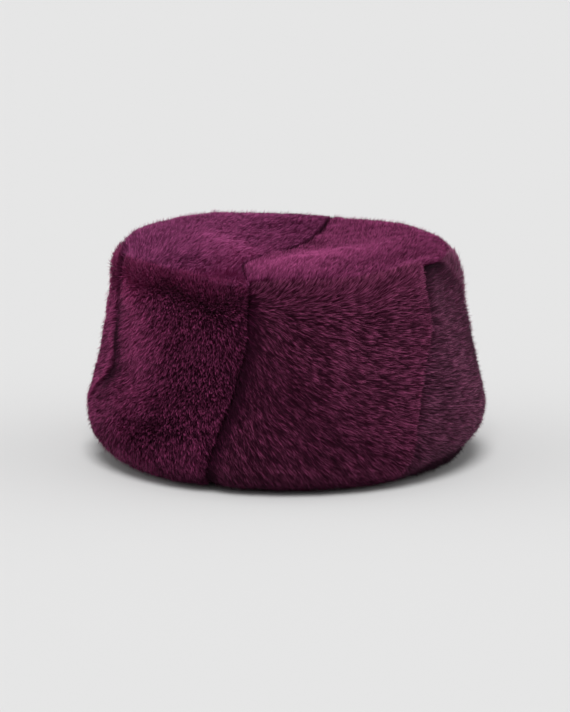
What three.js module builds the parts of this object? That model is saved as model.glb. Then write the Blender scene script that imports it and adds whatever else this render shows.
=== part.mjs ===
// Fur hat: a tall soft crown sewn from two crown halves and six side panels.
// Millimetres, +Z up. Front is -Y. Angles are in degrees from the front towards +X.
// Every panel is a padded wall: its outer face is the outer form of the pile, its inner face the skin side.
import * as THREE from "three";

// ---- named sizes ----
const SEAM_GAP = 0.4;          // clear width of the seams down the side and across the crown
const RIM_GAP = 0.6;           // clear width of the seam round the crown
const COLUMN_STEP = 13;        // widest step round the side
const NORMAL_STEP = 1.5;       // half step for the direction the wall faces
const CROWN_STEPS = 26;        // steps along a crown half, front to back

// ---- cross-section of the wall ----
// From the middle of the crown outwards, down the side, and under to the mouth.
// r, z: outer face. ri, zi: inner face.
const SECTIONS = [
  { name: "crown_centre", r: 0, z: 138, ri: 0, zi: 128 },
  { name: "crown_inner", r: 42, z: 138.6, ri: 42, zi: 128.6 },
  { name: "crown_outer", r: 78, z: 139.8, ri: 76.5, zi: 130 },
  { name: "crown_edge", r: 97, z: 137.6, ri: 92.5, zi: 128.8 },
  { name: "rim_seam", r: 107.3, z: 129.5, ri: 99.5, zi: 123.3 },
  { name: "shoulder", r: 112, z: 117, ri: 102.4, zi: 114.3 },
  { name: "wall_high", r: 115.5, z: 100, ri: 105.7, zi: 98.1 },
  { name: "wall_mid", r: 120.5, z: 74, ri: 110.7, zi: 72 },
  { name: "wall_low", r: 126.3, z: 46, ri: 116.4, zi: 44.6 },
  { name: "belly", r: 128.3, z: 31, ri: 118.3, zi: 31.2 },
  { name: "belly_low", r: 125.8, z: 18, ri: 116.8, zi: 22.2 },
  { name: "under", r: 118.4, z: 7.2, ri: 112, zi: 14.4 },
  { name: "rest_outer", r: 108, z: 0, ri: 104.2, zi: 9.8 },
  { name: "rest_inner", r: 99.5, z: 0, ri: 97.8, zi: 8.6 },
  { name: "mouth", r: 94.5, z: 2.6, ri: 94.8, zi: 6.2 },
];

// ---- seams of the side, as the angle of each seam at these heights ----
const SEAM_HEIGHTS = [130, 100, 70, 35, 0];
const SEAMS = {
  far_left: [-80, -78, -71, -87, -94],
  front_left: [-13, -13, -15.5, -21, -27],
  front_right: [50, 50, 43, 37.5, 36],
  far_right: [65, 84, 89, 93, 92],
  back_right: [163, 160, 156, 152, 149],
  back_left: [-138, -140, -143, -148, -152],
};

// ---- seam across the crown, seen from above, front to back ----
const CROWN_SEAM = [
  { x: -24.1, y: -104.6 }, { x: -29, y: -80 }, { x: -21.5, y: -61 }, { x: -5, y: -44 },
  { x: 5, y: -21 }, { x: 14, y: 15 }, { x: 24.5, y: 60 }, { x: 31.4, y: 102.6 },
];

// ---- how far the pile dips at each seam ----
// end: the side on which the pile ends over the seam. start: the side on which it starts.
const GROOVES = {
  far_left: { end: 1.5, endWidth: 3, start: 5.5, startWidth: 5 },
  front_left: { end: 1.2, endWidth: 3, start: 3.5, startWidth: 6 },
  front_right: { end: 0.6, endWidth: 2.5, start: 2.5, startWidth: 5 },
  far_right: { end: 1.2, endWidth: 3, start: 3, startWidth: 5 },
  back_right: { end: 1.2, endWidth: 3, start: 3, startWidth: 5 },
  back_left: { end: 1.2, endWidth: 3, start: 3, startWidth: 5 },
  crown: { end: 0.5, endWidth: 2.5, start: 3.6, startWidth: 6 },
};

// ---- how the top edge rises and falls round the hat ----
// seam: height added at the rim seam. edge: height added at the crown's edge. dip: depth of the rim seam.
const RIM = [
  { at: -180, seam: 7, edge: 6, dip: 1.5 },
  { at: -120, seam: 5.5, edge: 4, dip: 1.5 },
  { at: -85, seam: 2, edge: 3, dip: 1.5 },
  { at: -55, seam: 2.5, edge: -2, dip: 1.2 },
  { at: -38, seam: 1.5, edge: -4, dip: 1.2 },
  { at: -15, seam: -2, edge: -5.5, dip: 1 },
  { at: 15, seam: -2, edge: -4.5, dip: 0.3 },
  { at: 50, seam: 4.5, edge: -1.5, dip: 1.5 },
  { at: 85, seam: 5.2, edge: 0.5, dip: 2.2 },
  { at: 130, seam: 6, edge: 3, dip: 1.5 },
  { at: 180, seam: 7, edge: 6, dip: 1.5 },
];
const RIM_DIP_WIDTH = 4;

// ---- where the bottom edge is raised off the floor ----
const LIFT = [
  { at: -180, up: 0 }, { at: 33, up: 0 }, { at: 39, up: 0.7 }, { at: 46, up: 3 }, { at: 55, up: 4.4 },
  { at: 70, up: 5 }, { at: 84, up: 5 }, { at: 100, up: 2.6 }, { at: 116, up: 0 }, { at: 180, up: 0 },
];

// ---- dents and folds of the side ----
// at, z: middle. wide, tall: half sizes in degrees and mm. lean: degrees for each mm of height. rise: out, or in if negative.
const SIDE_FOLDS = [
  { name: "left_valley", at: -75, z: 98, wide: 7, tall: 32, lean: -0.02, rise: -5 },
  { name: "left_pinch", at: -62, z: 66, wide: 22, tall: 9, lean: 0, rise: -3 },
  { name: "left_dimple", at: -48, z: 60, wide: 8, tall: 8, lean: 0, rise: -2.5 },
  { name: "left_ridge", at: -50, z: 100, wide: 9, tall: 26, lean: 0.05, rise: 2 },
  { name: "left_hollow", at: -32, z: 88, wide: 9, tall: 30, lean: 0.05, rise: -2 },
  { name: "left_bulge", at: -80, z: 34, wide: 26, tall: 16, lean: 0, rise: 1.6 },
  { name: "left_corner", at: -88, z: 124, wide: 26, tall: 12, lean: 0, rise: 2.2 },
  { name: "left_lip", at: -104, z: 125, wide: 12, tall: 8, lean: 0, rise: -1 },
  { name: "front_swell", at: 12, z: 70, wide: 26, tall: 34, lean: 0, rise: 1.2 },
  { name: "right_pinch", at: 64, z: 118, wide: 10, tall: 12, lean: 0, rise: -4 },
  { name: "right_hollow", at: 66, z: 92, wide: 12, tall: 26, lean: 0, rise: -2 },
  { name: "right_shoulder", at: 94, z: 117, wide: 18, tall: 13, lean: 0, rise: 2 },
  { name: "right_bulge", at: 84, z: 36, wide: 22, tall: 18, lean: 0, rise: 1 },
  { name: "rear_dent", at: 120, z: 80, wide: 16, tall: 26, lean: 0.1, rise: -2 },
  { name: "rear_swell", at: -170, z: 60, wide: 24, tall: 30, lean: 0, rise: 1.5 },
  { name: "rear_left_dent", at: -112, z: 70, wide: 14, tall: 26, lean: -0.1, rise: -2 },
];

// ---- dents and folds of the crown ----
// x, y: middle. long, wide: half sizes along and across the fold. turn: its direction. rise: up, or down if negative.
const CROWN_FOLDS = [
  { name: "left_hump", x: -48, y: 22, long: 36, wide: 62, turn: 0, rise: 8 },
  { name: "left_edge", x: -92, y: -5, long: 14, wide: 40, turn: 0, rise: 2.5 },
  { name: "left_brow", x: -36, y: -38, long: 26, wide: 11, turn: -50, rise: 2 },
  { name: "left_brow_outer", x: -66, y: -36, long: 28, wide: 11, turn: 62, rise: 1.8 },
  { name: "front_left_sag", x: -50, y: -70, long: 24, wide: 24, turn: 0, rise: -3 },
  { name: "right_brow", x: 24, y: -56, long: 50, wide: 11, turn: 40, rise: 2.4 },
  { name: "front_right_sag", x: 60, y: -70, long: 34, wide: 20, turn: -35, rise: -2.2 },
  { name: "right_back", x: 72, y: 60, long: 28, wide: 26, turn: 0, rise: 2 },
  { name: "right_hollow", x: 52, y: 30, long: 26, wide: 34, turn: 0, rise: -1 },
];

// ---- the panels, going round to the right: the pile starts at `from` and ends over `to` ----
const PANELS = [
  { name: "panel_left", from: "far_left", to: "front_left" },
  { name: "panel_front", from: "front_left", to: "front_right" },
  { name: "panel_right", from: "front_right", to: "far_right" },
  { name: "panel_rear_right", from: "far_right", to: "back_right" },
  { name: "panel_rear", from: "back_right", to: "back_left" },
  { name: "panel_rear_left", from: "back_left", to: "far_left" },
];

// ---- helpers ----
const radians = (degrees) => (degrees * Math.PI) / 180;
const turnOf = (degrees) => ((((degrees + 180) % 360) + 360) % 360) - 180;
const ease = (t) => { const c = Math.min(1, Math.max(0, t)); return c * c * (3 - 2 * c); };
const bell = (a, b) => Math.exp(-a * a - b * b);

// Smooth curve through (x, y) that never overshoots its points.
function curveThrough(xs, ys) {
  const n = xs.length;
  const h = [], d = [], m = new Array(n).fill(0);
  for (let i = 0; i + 1 < n; i++) { h.push(xs[i + 1] - xs[i]); d.push((ys[i + 1] - ys[i]) / h[i]); }
  for (let i = 1; i + 1 < n; i++) {
    if (d[i - 1] * d[i] > 0) {
      const a = 2 * h[i] + h[i - 1], b = h[i] + 2 * h[i - 1];
      m[i] = (a + b) / (a / d[i - 1] + b / d[i]);
    }
  }
  m[0] = d[0]; m[n - 1] = d[n - 2];
  return (x) => {
    const q = Math.min(xs[n - 1], Math.max(xs[0], x));
    let i = 0;
    while (i + 2 < n && q >= xs[i + 1]) i++;
    const t = (q - xs[i]) / h[i];
    return (1 + 2 * t) * (1 - t) ** 2 * ys[i] + t * (1 - t) ** 2 * h[i] * m[i]
      + t * t * (3 - 2 * t) * ys[i + 1] + t * t * (t - 1) * h[i] * m[i + 1];
  };
}

// Value of a table column round the hat.
function around(table, key, at) {
  const q = turnOf(at);
  let i = 0;
  while (i + 2 < table.length && q >= table[i + 1].at) i++;
  const a = table[i], b = table[i + 1];
  return a[key] + (b[key] - a[key]) * ease((q - a.at) / (b.at - a.at));
}

// Length along the section, from the middle of the crown.
const LENGTHS = [];
SECTIONS.forEach((p, i) => LENGTHS.push(i ? LENGTHS[i - 1] + Math.hypot(p.r - SECTIONS[i - 1].r, p.z - SECTIONS[i - 1].z) : 0));
const lengthAt = (name) => LENGTHS[SECTIONS.findIndex((p) => p.name === name)];
const column = (key) => curveThrough(LENGTHS, SECTIONS.map((p) => p[key]));
const outerR = column("r"), outerZ = column("z"), innerR = column("ri"), innerZ = column("zi");

const seamCurves = {};
for (const [name, angles] of Object.entries(SEAMS)) {
  const curve = curveThrough(SEAM_HEIGHTS.map((z) => -z), angles);
  seamCurves[name] = (z) => curve(-z);
}

// Which way the wall faces at a length along the section.
function facing(s) {
  const dr = outerR(s + NORMAL_STEP) - outerR(s - NORMAL_STEP), dz = outerZ(s + NORMAL_STEP) - outerZ(s - NORMAL_STEP);
  const n = Math.hypot(dr, dz);
  return { r: -dz / n, z: dr / n };
}

// A point of the full outer face, or of the inner face, at length s and angle `at`.
function facePoint(s, at, inner) {
  const r0 = outerR(s), z0 = outerZ(s), out = facing(s), a = radians(at);
  const foldsFade = 1 - ease((s - lengthAt("belly_low")) / (lengthAt("rest_outer") - lengthAt("belly_low")));
  let rise = 0;
  for (const f of SIDE_FOLDS) {
    rise += f.rise * bell(turnOf(at - f.at - f.lean * (f.z - z0)) / f.wide, (z0 - f.z) / f.tall) * Math.max(0, out.r) * foldsFade;
  }
  const x = r0 * Math.sin(a), y = -r0 * Math.cos(a);
  for (const f of CROWN_FOLDS) {
    const c = Math.cos(radians(f.turn)), q = Math.sin(radians(f.turn));
    const along = (x - f.x) * c + (y - f.y) * q, across = -(x - f.x) * q + (y - f.y) * c;
    rise += f.rise * bell(along / f.long, across / f.wide) * Math.max(0, out.z);
  }
  const edge0 = lengthAt("crown_inner") * 0.5, edge1 = lengthAt("crown_edge"), seam = lengthAt("rim_seam"), wall = lengthAt("wall_high");
  const atEdge = ease((s - edge0) / (edge1 - edge0)) * (1 - ease((s - edge1) / (seam - edge1)));
  const atSeam = ease((s - edge1) / (seam - edge1)) * (1 - ease((s - seam) / (wall - seam)));
  const low = ease((s - lengthAt("wall_mid")) / (lengthAt("under") - lengthAt("wall_mid"))) ** 2;
  const r = (inner ? innerR(s) : r0) + out.r * rise;
  const z = (inner ? innerZ(s) : z0) + out.z * rise + around(RIM, "edge", at) * atEdge + around(RIM, "seam", at) * atSeam
    + around(LIFT, "up", at) * low;
  return new THREE.Vector3(r * Math.sin(a), -r * Math.cos(a), z);
}

// The same with the pile `dip` mm lower, towards the inner face.
function wallPoint(s, at, inner, dip) {
  const skin = facePoint(s, at, true);
  if (inner) return skin;
  const pile = facePoint(s, at, false);
  return pile.lerp(skin, dip / pile.distanceTo(skin));
}

const dipAt = (distance, depth, width) => depth * Math.exp(-((distance / width) ** 2));
const rimDip = (s, at) => dipAt(s - lengthAt("rim_seam"), around(RIM, "dip", at), RIM_DIP_WIDTH);

// A closed wall between two faces of rows by columns: point(i, j, inner). Columns that shrink to a point are allowed.
function closedWall(rows, columns, point) {
  const positions = [], index = [];
  const at = (i, j, inner) => (inner ? rows * columns : 0) + i * columns + j;
  for (const inner of [false, true]) {
    for (let i = 0; i < rows; i++) for (let j = 0; j < columns; j++) positions.push(...point(i, j, inner).toArray());
  }
  const quad = (a, b, c, d) => {
    const p = [a, b, c, d].map((k) => new THREE.Vector3().fromArray(positions, k * 3));
    const flat = (k, l) => p[k].distanceTo(p[l]) < 1e-4;
    if (!flat(0, 1) && !flat(1, 2)) index.push(a, b, c);
    if (!flat(2, 3) && !flat(3, 0)) index.push(a, c, d);
    else if (flat(1, 2) && !flat(3, 0)) index.push(a, b, d);
  };
  for (let i = 0; i + 1 < rows; i++) {
    for (let j = 0; j + 1 < columns; j++) {
      quad(at(i, j, false), at(i + 1, j, false), at(i + 1, j + 1, false), at(i, j + 1, false));
      quad(at(i, j, true), at(i, j + 1, true), at(i + 1, j + 1, true), at(i + 1, j, true));
    }
    quad(at(i, 0, true), at(i + 1, 0, true), at(i + 1, 0, false), at(i, 0, false));
    const e = columns - 1;
    quad(at(i, e, true), at(i, e, false), at(i + 1, e, false), at(i + 1, e, true));
  }
  for (let j = 0; j + 1 < columns; j++) {
    quad(at(0, j, true), at(0, j, false), at(0, j + 1, false), at(0, j + 1, true));
    const e = rows - 1;
    quad(at(e, j, false), at(e, j, true), at(e, j + 1, true), at(e, j + 1, false));
  }
  const geometry = new THREE.BufferGeometry();
  geometry.setAttribute("position", new THREE.Float32BufferAttribute(positions, 3));
  geometry.setIndex(index);
  geometry.computeVertexNormals();
  return geometry;
}

// ---- side panels ----
const seamLength = lengthAt("rim_seam"), mouthLength = lengthAt("mouth");
const ROWS = [seamLength + RIM_GAP / 2, seamLength + 3, lengthAt("shoulder"), lengthAt("wall_high")];
for (const [from, to, steps] of [["wall_high", "wall_mid", 3], ["wall_mid", "wall_low", 3], ["wall_low", "belly", 1]]) {
  for (let k = 1; k <= steps; k++) ROWS.push(lengthAt(from) + ((lengthAt(to) - lengthAt(from)) * k) / steps);
}
for (const name of ["belly_low", "under", "rest_outer", "rest_inner", "mouth"]) ROWS.push(lengthAt(name));

function panelGeometry({ from, to }) {
  // Distances from the two seams, in mm, of the columns next to them
  const near = [0, 2, 5.5];
  const spans = ROWS.map((s) => ((seamCurves[to](outerZ(s)) - seamCurves[from](outerZ(s)) + 360) % 360) * radians(1) * outerR(s));
  const columns = 2 * near.length + Math.ceil((Math.max(...spans) - 2 * near[near.length - 1]) / COLUMN_STEP) - 1;
  return closedWall(ROWS.length, columns, (i, j, inner) => {
    const s = ROWS[i], r = inner ? innerR(s) : outerR(s), z = outerZ(s);
    const a0 = seamCurves[from](z), span = spans[i];
    const last = columns - 1, k = near.length - 1;
    let distance;
    if (j <= k) distance = near[j];
    else if (j >= last - k) distance = span - near[last - j];
    else distance = near[k] + ((span - 2 * near[k]) * (j - k)) / (last - 2 * k);
    const half = SEAM_GAP / 2 / radians(1) / r, whole = span / radians(1) / outerR(s);
    const at = a0 + Math.min(whole - half, Math.max(half, distance / radians(1) / outerR(s)));
    const dip = dipAt(distance, GROOVES[from].start, GROOVES[from].startWidth)
      + dipAt(span - distance, GROOVES[to].end, GROOVES[to].endWidth) + rimDip(s, at);
    return wallPoint(s, at, inner, dip);
  });
}

// ---- crown halves ----
const seamRun = [0];
for (let i = 1; i < CROWN_SEAM.length; i++) {
  seamRun.push(seamRun[i - 1] + Math.hypot(CROWN_SEAM[i].x - CROWN_SEAM[i - 1].x, CROWN_SEAM[i].y - CROWN_SEAM[i - 1].y));
}
const crownSeamX = curveThrough(seamRun, CROWN_SEAM.map((p) => p.x)), crownSeamY = curveThrough(seamRun, CROWN_SEAM.map((p) => p.y));

// Length along the section at which the outer face reaches radius r on the crown.
function lengthAtRadius(r) {
  let low = 0, high = seamLength;
  for (let k = 0; k < 40; k++) {
    const mid = (low + high) / 2;
    if (outerR(mid) < r) low = mid; else high = mid;
  }
  return (low + high) / 2;
}

function crownGeometry(left) {
  const side = left ? -1 : 1;
  const crownEnd = seamLength - RIM_GAP / 2, rimRadius = outerR(crownEnd);
  const across = [0, 0.02, 0.06, 0.16, 0.34, 0.54, 0.74, 0.88, 0.955, 1];
  const run = seamRun[seamRun.length - 1], half = SEAM_GAP / 2 / radians(1) / rimRadius;
  const a0 = seamCurves.front_left(SECTIONS[4].z), a1 = seamCurves.back_right(SECTIONS[4].z);
  const start = a0 + side * half;
  const sweep = left ? a1 - 360 + half - start : a1 - half - start;
  return closedWall(CROWN_STEPS + 1, across.length, (i, j, inner) => {
    const v = i / CROWN_STEPS, w = left ? across[j] : across[across.length - 1 - j];
    const rim = radians(start + sweep * v);
    const qx = rimRadius * Math.sin(rim), qy = -rimRadius * Math.cos(rim);
    const t = run * v, e = 0.5;
    const tx = crownSeamX(t + e) - crownSeamX(t - e), ty = crownSeamY(t + e) - crownSeamY(t - e), n = Math.hypot(tx, ty);
    let px = crownSeamX(t) + ((side * ty) / n) * (SEAM_GAP / 2), py = crownSeamY(t) - ((side * tx) / n) * (SEAM_GAP / 2);
    if (i === 0 || i === CROWN_STEPS) { px = qx; py = qy; }
    const x = px + (qx - px) * w, y = py + (qy - py) * w;
    const r = Math.min(rimRadius, Math.hypot(x, y)), s = Math.min(crownEnd, lengthAtRadius(r));
    const at = THREE.MathUtils.radToDeg(Math.atan2(x, -y));
    const distance = Math.hypot(x - px, y - py);
    const groove = left ? dipAt(distance, GROOVES.crown.end, GROOVES.crown.endWidth) : dipAt(distance, GROOVES.crown.start, GROOVES.crown.startWidth);
    return wallPoint(s, at, inner, groove + rimDip(s, at));
  });
}

// ---- assembly ----
const fur = (name, color, roughness) => new THREE.MeshStandardMaterial({ name, color, roughness, metalness: 0 });
const hat = new THREE.Group();
hat.name = "fur_hat";

const pieces = [
  { name: "crown_left", geometry: crownGeometry(true), color: 0x692d50 },
  { name: "crown_right", geometry: crownGeometry(false), color: 0x6c2e51 },
  ...PANELS.map((panel) => ({ name: panel.name, geometry: panelGeometry(panel), color: panel.name === "panel_right" ? 0x472436 : 0x3c182a })),
];

// Bring the middle of the hat's outline over the origin, with the rim on the floor.
const box = new THREE.Box3();
for (const piece of pieces) { piece.geometry.computeBoundingBox(); box.union(piece.geometry.boundingBox); }
const middle = box.getCenter(new THREE.Vector3());
for (const piece of pieces) {
  const mesh = new THREE.Mesh(piece.geometry, fur(`${piece.name}_fur`, piece.color, 0.85));
  mesh.name = piece.name;
  mesh.position.set(-middle.x, -middle.y, -box.min.z);
  hat.add(mesh);
}

export default hat;
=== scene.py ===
import math

import bpy
import numpy as np
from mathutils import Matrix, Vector


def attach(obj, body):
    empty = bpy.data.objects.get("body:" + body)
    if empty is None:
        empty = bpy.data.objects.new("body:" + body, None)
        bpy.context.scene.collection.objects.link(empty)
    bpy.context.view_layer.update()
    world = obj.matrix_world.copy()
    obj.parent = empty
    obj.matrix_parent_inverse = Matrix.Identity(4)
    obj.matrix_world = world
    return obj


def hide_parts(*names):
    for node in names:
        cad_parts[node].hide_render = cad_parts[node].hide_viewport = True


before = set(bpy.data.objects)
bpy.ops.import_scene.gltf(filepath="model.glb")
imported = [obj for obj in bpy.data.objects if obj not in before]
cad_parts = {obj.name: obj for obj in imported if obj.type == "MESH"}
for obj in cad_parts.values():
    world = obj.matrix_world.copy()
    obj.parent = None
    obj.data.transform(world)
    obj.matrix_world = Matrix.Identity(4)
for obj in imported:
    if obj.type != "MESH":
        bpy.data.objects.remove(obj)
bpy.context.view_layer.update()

# A tall soft fur hat. The form is worked out in mm, as the solids are: front is -Y, angles in degrees from the front
# towards +X. Each panel is a padded skin, which stands for the solid, with its pile growing out of it.

# ---------------------------------------------------------------- sizes
SHIFT = np.array([0.22, -0.15, 0.0])   # the hat's outline sits over the origin
PILE = 6.4                             # height of the pile over the skin
OVER = 0.9                             # how far the tallest hairs stand over the form
LOCK_WIDTH = 0.46                      # widest part of a lock of long hairs
HAIR_WIDTH = 0.36                      # width of a hair of the lower pile at its root
SEAM_GAP = 0.4
RIM_GAP = 0.6
SEED = 20

# name, outer radius, outer height, inner radius, inner height
SECTIONS = [
    ("crown_centre", 0.0, 138.0, 0.0, 128.0),
    ("crown_inner", 42.0, 138.6, 42.0, 128.6),
    ("crown_outer", 78.0, 139.8, 76.5, 130.0),
    ("crown_edge", 97.0, 137.6, 92.5, 128.8),
    ("rim_seam", 107.3, 129.5, 99.5, 123.3),
    ("shoulder", 112.0, 117.0, 102.4, 114.3),
    ("wall_high", 115.5, 100.0, 105.7, 98.1),
    ("wall_mid", 120.5, 74.0, 110.7, 72.0),
    ("wall_low", 126.3, 46.0, 116.4, 44.6),
    ("belly", 128.3, 31.0, 118.3, 31.2),
    ("belly_low", 125.8, 18.0, 116.8, 22.2),
    ("under", 118.4, 7.2, 112.0, 14.4),
    ("rest_outer", 108.0, 0.0, 104.2, 9.8),
    ("rest_inner", 99.5, 0.0, 97.8, 8.6),
    ("mouth", 94.5, 2.6, 94.8, 6.2),
]
SEAM_HEIGHTS = [130, 100, 70, 35, 0]
SEAMS = {
    "far_left": [-80, -78, -71, -87, -94],
    "front_left": [-13, -13, -15.5, -21, -27],
    "front_right": [50, 50, 43, 37.5, 36],
    "far_right": [65, 84, 89, 93, 92],
    "back_right": [163, 160, 156, 152, 149],
    "back_left": [-138, -140, -143, -148, -152],
}
CROWN_SEAM = [(-24.1, -104.6), (-29, -80), (-21.5, -61), (-5, -44), (5, -21), (14, 15), (24.5, 60), (31.4, 102.6)]
# angle, height added at the rim seam, height added at the crown's edge
RIM = [
    (-180, 7.0, 6.0), (-120, 5.5, 4.0), (-85, 2.0, 3.0), (-55, 2.5, -2.0), (-38, 1.5, -4.0), (-15, -2.0, -5.5),
    (15, -2.0, -4.5), (50, 4.5, -1.5), (85, 5.2, 0.5), (130, 6.0, 3.0), (180, 7.0, 6.0),
]
# angle, height that the bottom edge is raised off the floor
LIFT = [
    (-180, 0.0), (33, 0.0), (39, 0.7), (46, 3.0), (55, 4.4), (70, 5.0), (84, 5.0), (100, 2.6), (116, 0.0), (180, 0.0),
]
# name, angle, height, half size round, half size up, lean, rise
SIDE_FOLDS = [
    ("left_valley", -75, 98, 7, 32, -0.02, -5.0),
    ("left_pinch", -62, 66, 22, 9, 0.0, -3.0),
    ("left_dimple", -48, 60, 8, 8, 0.0, -2.5),
    ("left_ridge", -50, 100, 9, 26, 0.05, 2.0),
    ("left_hollow", -32, 88, 9, 30, 0.05, -2.0),
    ("left_bulge", -80, 34, 26, 16, 0.0, 1.6),
    ("left_corner", -88, 124, 26, 12, 0.0, 2.2),
    ("left_lip", -104, 125, 12, 8, 0.0, -1.0),
    ("front_swell", 12, 70, 26, 34, 0.0, 1.2),
    ("right_pinch", 64, 118, 10, 12, 0.0, -4.0),
    ("right_hollow", 66, 92, 12, 26, 0.0, -2.0),
    ("right_shoulder", 94, 117, 18, 13, 0.0, 2.0),
    ("right_bulge", 84, 36, 22, 18, 0.0, 1.0),
    ("rear_dent", 120, 80, 16, 26, 0.1, -2.0),
    ("rear_swell", -170, 60, 24, 30, 0.0, 1.5),
    ("rear_left_dent", -112, 70, 14, 26, -0.1, -2.0),
]
# name, x, y, half length, half width, turn, rise
CROWN_FOLDS = [
    ("left_hump", -48, 22, 36, 62, 0, 8.0),
    ("left_edge", -92, -5, 14, 40, 0, 2.5),
    ("left_brow", -36, -38, 26, 11, -50, 2.0),
    ("left_brow_outer", -66, -36, 28, 11, 62, 1.8),
    ("front_left_sag", -50, -70, 24, 24, 0, -3.0),
    ("right_brow", 24, -56, 50, 11, 40, 2.4),
    ("front_right_sag", 60, -70, 34, 20, -35, -2.2),
    ("right_back", 72, 60, 28, 26, 0, 2.0),
    ("right_hollow", 52, 30, 26, 34, 0, -1.0),
]
# seam: how far the pile that ends there hangs over it, how much deeper the skin lies where the pile starts; where the
# pile starts: how much lower it is, over what width, how far short upright hairs fill it, how much darker it is, a
# painted shade in the seam's groove; where the pile ends: how much it stands up, how much lighter it is (painted light
# on the ridge along the seam above 0, painted shade below), over what width; then how much darker the first few mm are,
# more painted shade, and how much lighter the hairs are whose tips end at the seam (painted light above 0, painted
# shade below, as in the crown's dark seam line)
SEAM_STYLE = {
    "far_left": (2.2, 3.0, 4.2, 11.0, 0.0, 0.34, 0.6, 0.24, 2.5, 0.70, 0.24),
    "front_left": (2.0, 2.4, 3.2, 8.0, 0.0, 0.30, -1.6, -0.16, 6.0, 0.10, -0.10),
    "front_right": (0.9, 1.0, 1.2, 4.0, 0.9, 0.08, 1.1, 0.10, 2.2, 0.0, 0.10),
    "far_right": (2.0, 1.8, 3.0, 5.0, 0.3, 0.24, 2.0, 1.20, 3.4, 0.0, 0.50),
    "back_right": (2.5, 1.8, 1.2, 4.5, 0.6, 0.0, 0.6, 0.05, 3.0, 0.0, 0.0),
    "back_left": (2.5, 1.8, 1.2, 4.5, 0.6, 0.0, 0.6, 0.05, 3.0, 0.0, 0.0),
    "crown": (0.4, 2.4, 2.0, 2.9, 0.3, 0.95, 0.2, 0.0, 2.0, 0.0, -0.45),
}
# angle; the crown's pile at the rim: how far it hangs over, how much lower and how much darker it is (painted shade
# above 0, painted light below), over what width; the side's pile at the rim: how much it stands up and how much lighter
# it is (painted light above 0, painted shade below), over what width
RIM_STYLE = [
    (-180, 3.0, 0.0, 0.0, 8.0, 0.4, 0.0, 6.0),
    (-126, 3.0, 0.0, 0.0, 8.0, 0.6, 0.1, 6.0),
    (-112, 3.0, 0.4, 0.3, 4.5, 1.4, 0.80, 12.0),
    (-90, 3.0, 0.6, 0.6, 4.5, 1.5, 1.00, 14.0),
    (-81, 4.0, 0.4, 0.7, 4.5, 0.8, 0.1, 8.0),
    (-72, 5.5, 0.0, 0.06, 6.0, 0.6, 0.40, 9.0),
    (-62, 4.0, 0.1, 0.04, 9.0, 0.6, 0.50, 10.0),
    (-50, 3.0, 0.3, 0.06, 9.0, 0.7, 0.42, 11.0),
    (-28, 3.0, 0.3, -0.18, 9.0, 0.7, 0.62, 11.0),
    (-16, 3.0, 0.4, -0.26, 8.0, 0.3, 0.56, 9.0),
    (-8, 6.0, 0.0, 0.0, 6.0, 0.2, 0.30, 10.0),
    (30, 6.0, 0.0, 0.0, 6.0, 0.4, 0.42, 12.0),
    (48, 5.0, 0.0, 0.0, 6.0, 0.6, 0.46, 16.0),
    (53, 4.0, -0.5, 0.0, 6.0, -5.2, -1.2, 6.5),
    (61, 3.0, -0.6, 0.0, 6.0, -5.0, -0.8, 5.5),
    (67, 0.0, 0.6, 0.0, 6.0, -1.0, -0.2, 6.0),
    (74, -4.0, 3.6, 0.3, 8.0, -2.6, 0.6, 10.0),
    (95, -4.0, 3.6, 0.3, 8.0, -2.2, 0.6, 10.0),
    (112, 3.0, 0.0, 0.0, 6.0, 0.4, 0.1, 6.0),
    (125, 3.0, 0.0, 0.0, 6.0, 0.4, 0.0, 6.0),
    (180, 3.0, 0.0, 0.0, 8.0, 0.4, 0.0, 6.0),
]
PANELS = [
    ("panel_left", "far_left", "front_left"),
    ("panel_front", "front_left", "front_right"),
    ("panel_right", "front_right", "far_right"),
    ("panel_rear_right", "far_right", "back_right"),
    ("panel_rear", "back_right", "back_left"),
    ("panel_rear_left", "back_left", "far_left"),
]
# lay of the pile on the side: angle, height, degrees that it droops from level (negative is up)
LAY = [
    (-112, 131, -60), (-97, 131, -70), (-97, 112, 78), (-95, 70, 84), (-95, 20, 50),
    (-82, 131, -80), (-72, 131, -82), (-62, 131, -74), (-68, 113, 112), (-66, 95, 112), (-66, 70, 110), (-68, 48, 108), (-64, 18, 66),
    (-50, 126, -70), (-50, 108, 100), (-50, 84, 108), (-50, 58, 90), (-46, 34, 20),
    (-34, 126, -66), (-38, 108, 50), (-36, 90, 60), (-32, 65, 50), (-32, 20, 50), (-20, 126, -60), (-22, 100, 40),
    (-8, 130, -70), (-10, 114, 34), (-10, 98, 48), (-10, 70, 52), (-14, 40, 54), (-18, 15, 50),
    (12, 130, -74), (12, 113, 16), (12, 94, 34), (12, 75, 34), (10, 50, 38), (8, 15, 42),
    (34, 130, -56), (36, 110, 2), (34, 80, 14), (30, 50, 24), (28, 15, 30),
    (60, 118, -12), (62, 90, 2), (62, 60, 4), (60, 20, 10),
    (78, 131, -76), (96, 131, -72), (92, 114, -44), (90, 90, -4), (90, 60, 4), (90, 20, 10),
    (135, 118, 6), (135, 65, 10), (135, 20, 14),
    (180, 118, 6), (180, 65, 10), (180, 20, 14),
    (-140, 118, 6), (-140, 65, 10), (-140, 20, 14),
]

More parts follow.
